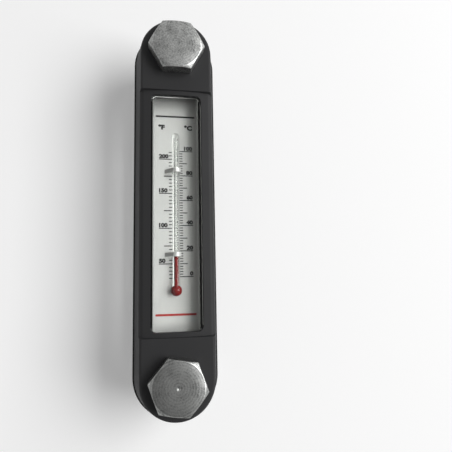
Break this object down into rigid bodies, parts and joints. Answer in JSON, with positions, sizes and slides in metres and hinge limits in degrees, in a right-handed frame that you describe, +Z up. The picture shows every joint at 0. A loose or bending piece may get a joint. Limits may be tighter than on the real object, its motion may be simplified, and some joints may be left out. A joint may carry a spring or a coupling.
{
  "type": "tank level gauge",
  "caption": "Oil level gauge for a tank wall: a clear windowed body in a black frame with a thermometer and scale, held by two hollow hexagon bolts.",
  "frame": {"origin": "in the tank wall plane that the rubber seals press on, midway between the two bolts", "axes": "+Z up along the gauge, +X to the right seen from the front, the front towards -Y and the bolt ends towards +Y"},
  "size_m": [0.0326, 0.04, 0.1578],
  "materials": {
    "frame_polyamide": "black glass-filled moulding, satin",
    "clear_body": "clear polyamide moulding, polished",
    "dial_aluminium": "satin anodised sheet",
    "stem_glass": "clear glass tube",
    "red_spirit": "dyed red liquid",
    "black_print": "printed black ink",
    "red_print": "printed red ink",
    "zinc_plated_steel": "zinc plated, turned and pressed",
    "seal_rubber": "black nitrile rubber"
  },
  "bodies": {
    "root": {"frame": "frame_polyamide", "sight_body": "clear_body", "back_cover": "clear_body", "dial_plate": "dial_aluminium", "thermometer_glass": "stem_glass", "thermometer_spirit": "red_spirit", "celsius_scale": "black_print", "fahrenheit_scale": "black_print", "upper_level_rule": "black_print", "lower_level_rule": "red_print", "upper_bolt": "zinc_plated_steel", "lower_bolt": "zinc_plated_steel", "upper_nut": "zinc_plated_steel", "lower_nut": "zinc_plated_steel", "upper_wall_seal": "seal_rubber", "lower_wall_seal": "seal_rubber", "upper_head_o_ring": "seal_rubber", "lower_head_o_ring": "seal_rubber"}
  },
  "joints": []
}
